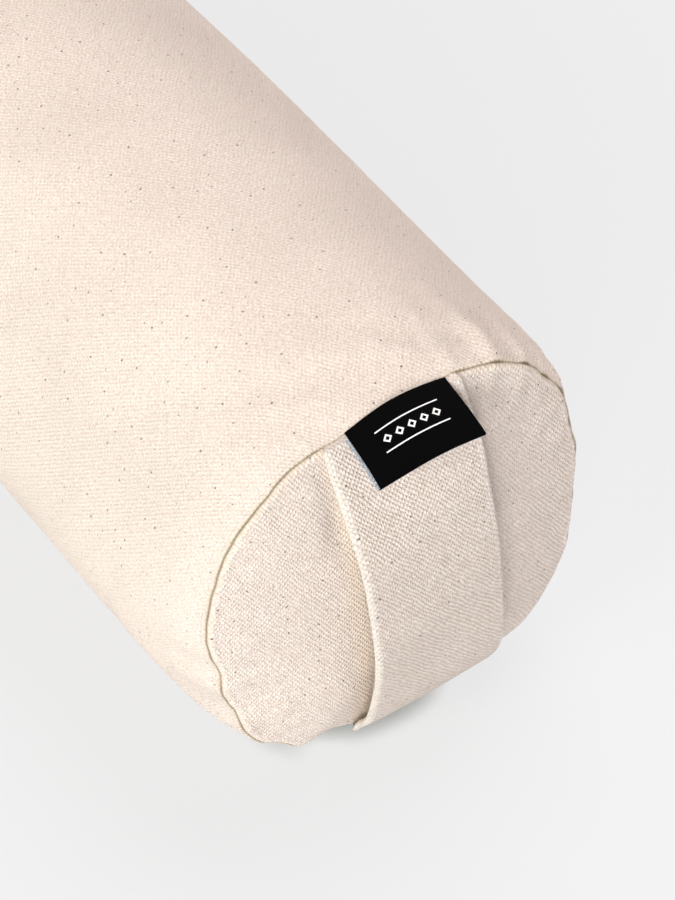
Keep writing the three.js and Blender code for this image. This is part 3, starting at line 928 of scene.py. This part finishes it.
def zip_topstitch(material):
    """Two rows of stitches beside the zip, joined across its ends."""
    parts = []
    pitch = 3.2 * MM
    length = 2.5 * MM
    offset = 9.2 * MM
    count = int(2 * (SLOT_HALF + 4 * MM) / pitch)
    for side in (-1, 1):
        angle = side * offset / BELLY
        for i in range(count):
            y = -SLOT_HALF - 4 * MM + i * pitch
            ends = [stitch_point(angle, y), stitch_point(angle, y + length)]
            parts.append(stitch(ends[0], ends[1], (math.cos(angle), 0, math.sin(angle))))
    for end in (-1, 1):
        y = end * (SLOT_HALF + 4 * MM)
        for i in range(6):
            a = (-offset + i * pitch) / BELLY
            b = (-offset + i * pitch + length) / BELLY
            parts.append(stitch(stitch_point(a, y), stitch_point(b, y), (1, 0, 0)))
    return repeated("zip_topstitch", parts, material)


def stitch_point(angle, y):
    """A point on the hemmed cloth beside the zip."""
    point = tube_surface(np.array([angle]), np.array([y]))[0]
    point[0] += hem_rise(y)
    return point


def softened(name, node, width, material):
    """A metal piece with the frame's own shape and its edges rounded."""
    piece = linked(name, frame_mesh(node), material)
    bevel = piece.modifiers.new("edges", "BEVEL")
    bevel.width = width
    bevel.segments = 3
    bevel.limit_method = "ANGLE"
    bevel.angle_limit = math.radians(25)
    applied(piece)
    piece.data.polygons.foreach_set("use_smooth", [True] * len(piece.data.polygons))
    return piece


def frame_mesh(node):
    """A copy of a frame node's mesh, with its doubled points joined."""
    work = bmesh.new()
    work.from_mesh(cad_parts[node].data)
    bmesh.ops.remove_doubles(work, verts=work.verts, dist=1e-6)
    bmesh.ops.dissolve_limit(work, angle_limit=math.radians(2), verts=work.verts, edges=work.edges)
    mesh = bpy.data.meshes.new(node + "_copy")
    work.to_mesh(mesh)
    work.free()
    return mesh


def care_ribbon(material):
    """The blank care label inside the cover, on its loop of white ribbon."""
    low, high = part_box("care_label")
    rows = np.linspace(low.y, high.y, 24)
    heights = np.linspace(low.z, high.z, 16)
    y, z = np.meshgrid(rows, heights, indexing="ij")
    x = low.x + (high.x - low.x) * (z - low.z) / (high.z - low.z)
    x = x + 0.12 * MM * np.sin(y * 300)
    points = np.stack([x, y, z], -1)
    faces = grid_faces(len(rows), len(heights), False)
    cloth = np.stack([y, z, np.zeros_like(y)], -1)
    piece = new_piece("care_ribbon", points.reshape(-1, 3), faces, material, cloth=cloth)
    return thicken(piece, 0.3 * MM, 0.0)


# ---- materials ----
class Field:
    """An output in a material's node graph, which ordinary arithmetic works on."""

    def __init__(self, graph, socket):
        self.graph = graph
        self.socket = socket

    def __add__(self, other):
        return self.graph.math("ADD", self, other)

    def __sub__(self, other):
        return self.graph.math("SUBTRACT", self, other)

    def __rsub__(self, other):
        return self.graph.math("SUBTRACT", other, self)

    def __mul__(self, other):
        return self.graph.math("MULTIPLY", self, other)

    def __lt__(self, other):
        return self.graph.math("LESS_THAN", self, other)

    def __gt__(self, other):
        return self.graph.math("GREATER_THAN", self, other)

    def __abs__(self):
        return self.graph.math("ABSOLUTE", self)


class Graph:
    """A material's node graph, with short calls for the nodes it needs."""

    def __init__(self, name):
        self.material = bpy.data.materials.new(name)
        self.material.use_nodes = True
        self.tree = self.material.node_tree
        self.tree.nodes.clear()
        self.shader = self.tree.nodes.new("ShaderNodeBsdfPrincipled")
        output = self.tree.nodes.new("ShaderNodeOutputMaterial")
        self.tree.links.new(self.shader.outputs[0], output.inputs[0])

    def put(self, socket, value):
        """Links a field to a socket, or sets a number, a vector or a colour on it."""
        if isinstance(value, Field):
            self.tree.links.new(value.socket, socket)
        elif socket.type == "RGBA":
            socket.default_value = (*value, 1.0)
        else:
            socket.default_value = value

    def node(self, kind, output, inputs, **settings):
        """A field from a new node's output; its inputs are given by number or by name."""
        node = self.tree.nodes.new("ShaderNode" + kind)
        for key, value in settings.items():
            setattr(node, key, value)
        for key, value in inputs.items():
            self.put(node.inputs[key], value)
        return Field(self, node.outputs[output])

    def math(self, operation, a, b=0.0):
        return self.node("Math", 0, {0: a, 1: b, 2: 0.0}, operation=operation)

    def vector(self, operation, a, b):
        return self.node("VectorMath", 0, {0: a, 1: b}, operation=operation)

    def attribute(self, name):
        return self.node("Attribute", "Fac", {}, attribute_name=name)

    def cloth(self):
        """Place on the flat cloth, in metres; the third number sets one cloth apart from another."""
        return self.node("Attribute", "Vector", {}, attribute_name="cloth")

    def place(self):
        """Position on the object at rest, in metres."""
        return self.node("TexCoord", "Object", {})

    def split(self, vector):
        parts = self.node("SeparateXYZ", 0, {0: vector})
        return [Field(self, output) for output in parts.socket.node.outputs]

    def noise(self, vector, scale, detail=2.0, roughness=0.5):
        return self.node("TexNoise", 0, {
            "Vector": vector, "Scale": scale, "Detail": detail, "Roughness": roughness})

    def closeness(self, reach):
        """How open a surface is within a reach: 0 where something touches it, 1 clear of everything."""
        return self.node("AmbientOcclusion", "AO", {"Distance": reach}, samples=8)

    def ramp(self, value, low, high, out_low=0.0, out_high=1.0):
        return self.node("MapRange", 0, dict(enumerate((value, low, high, out_low, out_high))),
                         interpolation_type="SMOOTHSTEP")

    def mix(self, share, a, b):
        return self.node("Mix", 2, {0: share, 6: a, 7: b}, data_type="RGBA")

    def bump(self, height, distance, strength, **before):
        return self.node("Bump", 0, {"Strength": strength, "Distance": distance, "Height": height, **before})

    def finish(self, colour, roughness, **inputs):
        for key, value in {"Base Color": colour, "Roughness": roughness, **inputs}.items():
            self.put(self.shader.inputs[key.replace("_", " ")], value)
        return self.material


def scaled(tint, share):
    return tuple(min(part * share, 1.0) for part in tint)


def plain_weave(graph, cloth, warp, weft, lean=0.0):
    """A plain weave's height, and which yarn is on top: 1 the one along the cloth, -1 the other.

    lean draws the tops together into faint diagonal lines, as the yarn's twist does."""
    wander = graph.noise(cloth, 0.09 / warp, 1.0)
    shift = (wander - 0.5) * (warp * 1.8)
    x, y, _ = graph.split(cloth)
    x_turn = (x + shift) * (math.pi / warp)
    y_turn = (y + shift) * (math.pi / weft)
    across = graph.math("SINE", x_turn)
    along = graph.math("SINE", y_turn)
    turn = across * along
    swing = turn * 0.45
    yarns = graph.math("MAXIMUM", abs(across) * (swing + 0.55), abs(along) * (0.55 - swing))
    tops = turn - graph.math("COSINE", x_turn + y_turn) * lean
    return yarns * 0.45 + tops * 0.4 + 0.3, tops


def yarn_streaks(graph, cloth, pitch):
    """Thick and thin places of single yarns, both ways of the cloth, about 0.5 on average."""
    fine = 1 / pitch
    long = 0.22 / pitch
    warp = graph.noise(graph.vector("MULTIPLY", cloth, (fine, long, 1.0)), 1.1, 1.0)
    weft = graph.noise(graph.vector("MULTIPLY", cloth, (long, fine, 1.0)), 1.1, 1.0)
    return (warp + weft) * 0.5


def flecks(graph, cloth, spacing, radius, share):
    """Bits of seed husk spun into the yarn: 1 on a fleck, 0 elsewhere."""
    ragged = graph.vector("MULTIPLY", graph.noise(cloth, 900.0, 1.0), (radius, radius, radius))
    cells = {"Vector": graph.vector("ADD", cloth, ragged), "Scale": 1 / spacing}
    distance = graph.node("TexVoronoi", "Distance", cells, voronoi_dimensions="2D")
    colour = Field(graph, distance.socket.node.outputs["Color"])
    pick, size, _ = graph.split(colour)
    limit = graph.ramp(size, 0, 1, 0.35 * radius / spacing, radius / spacing)
    return (distance < limit) * (pick < share)


def canvas(name, relief, lean, seam_line_and_shade=True, folds=False, warmed=False):
    """Natural cotton canvas with husk flecks and painted shade in its weave; relief is the depth of its
    weave.
    """
    graph = Graph(name)
    cloth = graph.cloth()
    weave, tops = plain_weave(graph, cloth, WARP, WEFT, lean)
    streaks = yarn_streaks(graph, cloth, WARP)
    blotch = graph.noise(cloth, 16.0, 3.0)
    grain = graph.noise(cloth, 1.0 / WARP, 3.0, 0.8)
    # colours laid over the canvas, each with its share: yarn tone, grain and husk flecks, and painted shade
    # and highlights
    stains_and_painted_light = [
        (graph.ramp(streaks, 0.38, 0.6, 0.22, 0.0), (0.55, 0.43, 0.33)),
        # painted shade: darker where the weave dips between yarns
        (graph.ramp(weave, 0.15, 0.75, 0.34, 0.0), (0.40, 0.29, 0.21)),
        (graph.ramp(tops, -1, 1, 0.06, 0.0), (0.50, 0.40, 0.31)),
        (graph.ramp(grain, 0.36, 0.62, 0.58, 0.0), (0.52, 0.39, 0.30)),
        (flecks(graph, cloth, 6 * MM, 0.5 * MM, 0.6) * 0.35, (0.42, 0.29, 0.17)),
        (flecks(graph, cloth, 8.5 * MM, 0.52 * MM, 0.55) * 0.85, (0.10, 0.06, 0.035)),
    ]
    if seam_line_and_shade:
        groove = graph.attribute("groove")
        # painted shade along the seams: a tan band where the cloth rolls in, and a near-black line that is
        # partly the seam's own dark line and partly painted shade in its hollow
        stains_and_painted_light.append((graph.ramp(groove, 0.08, 0.55, 0.0, 0.30), (0.52, 0.42, 0.24)))
        stains_and_painted_light.append((graph.ramp(groove, 0.40, 0.80, 0.0, 0.95), (0.14, 0.095, 0.035)))
    if warmed:
        # painted shade beside the strap's left edge, tinted ochre like light thrown back by the strap
        stains_and_painted_light.append((graph.attribute("warm") * 0.34, (0.90, 0.72, 0.47)))
    if folds:
        # paler folded edges: partly wear, partly a painted highlight where the light catches them
        stains_and_painted_light.append((graph.attribute("fold") * 0.35, (0.95, 0.90, 0.80)))
    colour = graph.mix(graph.ramp(blotch, 0.3, 0.7), scaled(CANVAS_TINT, 0.955), scaled(CANVAS_TINT, 1.045))
    for share, overlay_colour in stains_and_painted_light:
        colour = graph.mix(share, colour, overlay_colour)
    lumps = graph.bump(graph.noise(cloth, 55.0, 3.0), 0.9 * MM, 0.5)
    height = weave + streaks * 0.8 + grain * 1.6
    return graph.finish(colour, graph.ramp(streaks, 0.3, 0.7, 0.86, 0.97),
                        Normal=graph.bump(height, relief, 1.0, Normal=lumps),
                        Sheen_Weight=0.12, Sheen_Roughness=0.6, Specular_IOR_Level=0.25)


def ribbed(graph, cloth, pitch):
    """Fine ribs of a woven ribbon across its length."""
    x, y, _ = graph.split(cloth)
    rib = abs(graph.math("SINE", y * (math.pi / pitch)))
    warp = abs(graph.math("SINE", x * (math.pi / (pitch * 0.8))))
    return rib * (warp * 0.4 + 0.6)


def label_motif(graph, cloth):
    """A plain woven pattern in pale thread: a row of lozenges between two rules."""
    x, y, _ = graph.split(cloth)
    off_row = abs(y - MOTIF_CENTRE)
    cell = graph.math("PINGPONG", x + MOTIF_PITCH * 10.5, MOTIF_PITCH / 2)
    size = MOTIF_PITCH / 2 - cell + off_row
    near = abs(x) < MOTIF_HALF_ROW
    lozenges = (size < 2.3 * MM) * (size > 1.15 * MM) * near
    rules = (abs(off_row - 5.6 * MM) < 0.32 * MM) * near
    return graph.math("MAXIMUM", lozenges, rules)


def label_material():
    graph = Graph("black_woven_ribbon")
    cloth = graph.cloth()
    under = graph.attribute("under")
    rib = ribbed(graph, cloth, 0.34 * MM)
    speckle = graph.noise(cloth, 1400.0, 1.0)
    lint = flecks(graph, cloth, 8 * MM, 0.2 * MM, 0.25)
    # painted shade: both the black ground and the pale thread are darker in the hollows between ribs
    black = graph.mix(graph.ramp(rib, 0.1, 0.9), (0.0006, 0.0006, 0.0006), (0.0018, 0.0018, 0.0022))
    thread = graph.mix(graph.ramp(rib, 0.1, 0.8), (0.55, 0.54, 0.52), (0.86, 0.85, 0.82))
    colour = graph.mix(label_motif(graph, cloth) * (under < 0.3), black, thread)
    back = graph.mix(graph.ramp(speckle, 0.35, 0.65), (0.13, 0.15, 0.17), (0.44, 0.46, 0.49))
    colour = graph.mix(graph.ramp(under, 0.35, 0.6), colour, back)
    colour = graph.mix(lint * 0.04, colour, (0.5, 0.48, 0.45))
    return graph.finish(colour, graph.ramp(rib, 0, 1, 0.78, 0.62), Normal=graph.bump(rib, 0.08 * MM, 0.6),
                        Specular_IOR_Level=0.02)


def satin_material():
    graph = Graph("white_satin_ribbon")
    cloth = graph.cloth()
    rib = ribbed(graph, cloth, 0.3 * MM)
    grime = graph.noise(cloth, 30.0, 2.0)
    white = (0.84, 0.84, 0.82)
    grey = scaled(white, 0.86)
    # painted shade: greyer in the hollows between ribs
    colour = graph.mix(graph.ramp(rib, 0.0, 0.8), grey, white)
    colour = graph.mix(graph.ramp(grime, 0.4, 0.8, 0.0, 0.25), colour, grey)
    return graph.finish(colour, graph.ramp(grime, 0, 1, 0.7, 0.9), Normal=graph.bump(rib, 0.1 * MM, 0.7),
                        Sheen_Weight=0.1)


def tape_material():
    """Herringbone tape."""
    graph = Graph("herringbone_tape")
    cloth = graph.cloth()
    x, y, _ = graph.split(cloth)
    zigzag = graph.math("PINGPONG", x, 2.0 * MM)
    height = graph.ramp(graph.math("SINE", (y + zigzag) * (2 * math.pi / (0.9 * MM))), -1, 1)
    soil = graph.noise(cloth, 60.0, 3.0)
    # painted highlight and shade: the twill's ridges lighter, its hollows darker
    colour = graph.mix(height, (0.60, 0.53, 0.43), (0.78, 0.71, 0.60))
    colour = graph.mix(graph.ramp(soil, 0.45, 0.75, 0.0, 0.3), colour, (0.50, 0.44, 0.35))
    return graph.finish(colour, graph.ramp(soil, 0, 1, 0.82, 0.95), Normal=graph.bump(height, 0.12 * MM, 0.7),
                        Sheen_Weight=0.08)


def coil_material():
    graph = Graph("nylon_coil")
    cloud = graph.noise(graph.place(), 220.0)
    fine = graph.noise(graph.place(), 2500.0)
    colour = graph.mix(cloud, (0.66, 0.59, 0.48), (0.80, 0.74, 0.62))
    roughness = graph.ramp(cloud, 0.2, 0.8, 0.32, 0.5)
    return graph.finish(colour, roughness, Normal=graph.bump(fine, 0.03 * MM, 0.4))


def nickel_material():
    """Plated die-cast zinc, clouded and faintly brushed."""
    graph = Graph("nickel_plate")
    brushed = graph.noise(graph.vector("MULTIPLY", graph.place(), (9000.0, 260.0, 9000.0)), 1.0)
    cloud = graph.noise(graph.place(), 350.0, 3.0)
    colour = graph.mix(graph.ramp(cloud, 0.35, 0.7), (0.62, 0.61, 0.59), (0.78, 0.77, 0.75))
    rough = graph.ramp(cloud, 0.3, 0.7, 0.22, 0.38) + brushed * 0.08
    return graph.finish(colour, rough, Normal=graph.bump(brushed, 0.02 * MM, 0.3), Metallic=1.0)


def thread_material():
    graph = Graph("cotton_thread")
    ply = graph.noise(graph.vector("MULTIPLY", graph.place(), (3000.0, 1400.0, 3000.0)), 1.0)
    colour = graph.mix(graph.ramp(ply, 0.3, 0.7), (0.62, 0.54, 0.43), (0.86, 0.79, 0.68))
    return graph.finish(colour, graph.ramp(ply, 0, 1, 0.7, 0.9), Normal=graph.bump(ply, 0.06 * MM, 0.6))


def liner_material():
    graph = Graph("undyed_cotton")
    cloth = graph.cloth()
    weave, _ = plain_weave(graph, cloth, 0.4 * MM, 0.45 * MM)
    blotch = graph.noise(cloth, 14.0, 3.0)
    colour = graph.mix(graph.ramp(blotch, 0.3, 0.7), (0.80, 0.77, 0.71), (0.88, 0.86, 0.81))
    # painted shade: darker where the weave dips between yarns
    colour = graph.mix(graph.ramp(weave, 0, 0.7, 0.3, 0.0), colour, (0.6, 0.56, 0.5))
    return graph.finish(colour, graph.ramp(blotch, 0, 1, 0.88, 0.96), Normal=graph.bump(weave, 0.1 * MM, 0.7))


def batting_material():
    graph = Graph("cotton_batting")
    tuft = graph.noise(graph.place(), 130.0, 4.0, 0.7)
    colour = graph.mix(graph.ramp(tuft, 0.3, 0.7), (0.80, 0.78, 0.72), (0.93, 0.92, 0.88))
    return graph.finish(colour, graph.ramp(tuft, 0, 1, 0.92, 1.0), Normal=graph.bump(tuft, 2 * MM, 0.8))


def floor_material():
    """A pale seamless floor that glows a little, so that its shadows stay light."""
    graph = Graph("studio_floor")
    speck = graph.noise(graph.place(), 6.0)
    grey = (FLOOR_ALBEDO, FLOOR_ALBEDO, FLOOR_ALBEDO)
    near = graph.closeness(CONTACT_REACH)
    return graph.finish(graph.mix(graph.ramp(speck, 0.3, 0.7), grey, scaled(grey, 1.01)), 0.9,
                        Specular_IOR_Level=0.0, Emission_Strength=FLOOR_GLOW,
                        Emission_Color=graph.mix(graph.ramp(near, 0.15, 0.92), CONTACT_SHADE, (1, 1, 1)))


# ---- the studio ----
def toward(azimuth, elevation):
    """Unit vector from the object towards a direction: azimuth 0 is -Y and 90 is +X."""
    a = math.radians(azimuth)
    e = math.radians(elevation)
    return Vector((math.sin(a) * math.cos(e), -math.cos(a) * math.cos(e), math.sin(e)))


def make_camera():
    data = bpy.data.cameras.new("camera")
    data.lens = CAMERA_LENS
    data.sensor_width = 36
    data.clip_end = 50
    camera = linked("camera", data)
    away = toward(CAMERA_AZIMUTH, CAMERA_ELEVATION)
    camera.location = CAMERA_AIM + away * CAMERA_DISTANCE
    camera.rotation_euler = (-away).to_track_quat("-Z", "Y").to_euler()
    bpy.context.scene.camera = camera


def sun(name, azimuth, elevation, strength, spread, tint):
    data = bpy.data.lights.new(name, "SUN")
    data.energy = strength
    data.angle = math.radians(spread)
    data.color = tint
    light = linked(name, data)
    light.rotation_euler = toward(azimuth, elevation).to_track_quat("Z", "Y").to_euler()


def softbox(name, azimuth, elevation, strength, tint):
    """A round softbox aimed at the near end; strength is the light that reaches it."""
    distance = 3.6
    data = bpy.data.lights.new(name, "AREA")
    data.shape = "DISK"
    data.size = 1.7
    data.energy = strength * math.pi * distance ** 2
    data.color = tint
    light = linked(name, data)
    away = toward(azimuth, elevation)
    light.location = Vector((0, -HALF, AXIS)) + away * distance
    light.rotation_euler = away.to_track_quat("Z", "Y").to_euler()
    light.visible_camera = False


def make_studio():
    world = bpy.data.worlds.new("studio")
    bpy.context.scene.world = world
    world.use_nodes = True
    tree = world.node_tree
    height = tree.nodes.new("ShaderNodeSeparateXYZ")
    tree.links.new(tree.nodes.new("ShaderNodeTexCoord").outputs["Generated"], height.inputs[0])
    fade = tree.nodes.new("ShaderNodeMapRange")
    tree.links.new(height.outputs["Z"], fade.inputs["Value"])
    for key, value in (("From Min", 0.2), ("From Max", 0.55), ("To Min", WALL_LIGHT), ("To Max", SKY_LIGHT)):
        fade.inputs[key].default_value = value
    tree.links.new(fade.outputs[0], tree.nodes["Background"].inputs[0])
    softbox("key", -75, 25, 2.25, (0.97, 1.0, 0.92))
    softbox("front", -36, 25, 2.56, (0.95, 0.93, 1.0))
    sun("rear", 130, 55, 2.75, 50, (1.0, 0.93, 0.95))
    size = 30.0
    points = [(-size, -size, 0), (size, -size, 0), (size, size, 0), (-size, size, 0)]
    floor = new_piece("studio_floor", points, [(0, 1, 2, 3)], floor_material())
    bpy.context.scene.view_settings.view_transform = "Standard"


# ---- the assembly ----
def finished(piece, body, slot_name, *nodes):
    """A piece that rides on a body, unless it is blended, and stands for some CAD nodes."""
    if body is not None:
        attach(piece, body)
    if nodes:
        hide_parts(*nodes)
    return piece


def add_cover():
    cloth = canvas("natural_canvas", 0.62 * MM, 0.0)
    panel_cloth = canvas("panel_canvas", 0.60 * MM, 0.12, warmed=True)
    body = finished(cover_body(cloth), "cover", "canvas", "cover_body_panel")
    for word, front in (("front", True), ("rear", False)):
        panel = end_panel(f"cover_end_{word}", front, panel_cloth)
        finished(panel, "cover", "canvas", f"cover_end_panel_{word}")


def add_strap_and_label():
    cloth = canvas("strap_canvas", 0.80 * MM, 0.15, seam_line_and_shade=False, folds=True)
    upper = strap_half("strap_upper_half", True, cloth)
    finished(upper, None, "canvas", "handle_strap_top_end", "handle_strap_grip")
    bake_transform(upper)
    lower = strap_half("strap_lower_half", False, cloth)
    finished(lower, None, "canvas", "handle_strap_bottom_end", "handle_strap_grip")
    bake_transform(lower)

    label = finished(woven_label(label_material()), None, "label_ribbon", "woven_label")
    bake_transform(label)


def add_zip():
    coil_look = coil_material()
    tape_look = tape_material()
    nickel = nickel_material()
    for word, side in (("upper", 1), ("lower", -1)):
        finished(coil(f"zip_teeth_{word}", side, coil_look), "cover", "zip_coil", f"zip_coil_{word}")
        strip = tape(f"zip_ribbon_{word}", f"zip_tape_{word}", side, tape_look)
        finished(strip, "cover", "zip_tape", f"zip_tape_{word}")
    for name, node, body, rounding in METAL_PIECES:
        finished(softened(name, node, rounding * MM, nickel), body, "zip_metal", node)
    finished(zip_topstitch(thread_material()), "cover", "canvas")


def add_inside():
    finished(care_ribbon(satin_material()), "cover", "care_ribbon", "care_label")
    case = inner_body("inner_case", 5.6 * MM, liner_material(), 0.4 * MM)
    finished(case, "cover", "liner", "liner_body_panel", "liner_end_panel_front", "liner_end_panel_rear")
    filling = inner_body("batting_core", 9.8 * MM, batting_material(), 0.7 * MM)
    finished(filling, "cover", "filling", "fill_core")


make_camera()
make_studio()
WRINKLES.simulate()
add_cover()
add_strap_and_label()
add_zip()
add_inside()
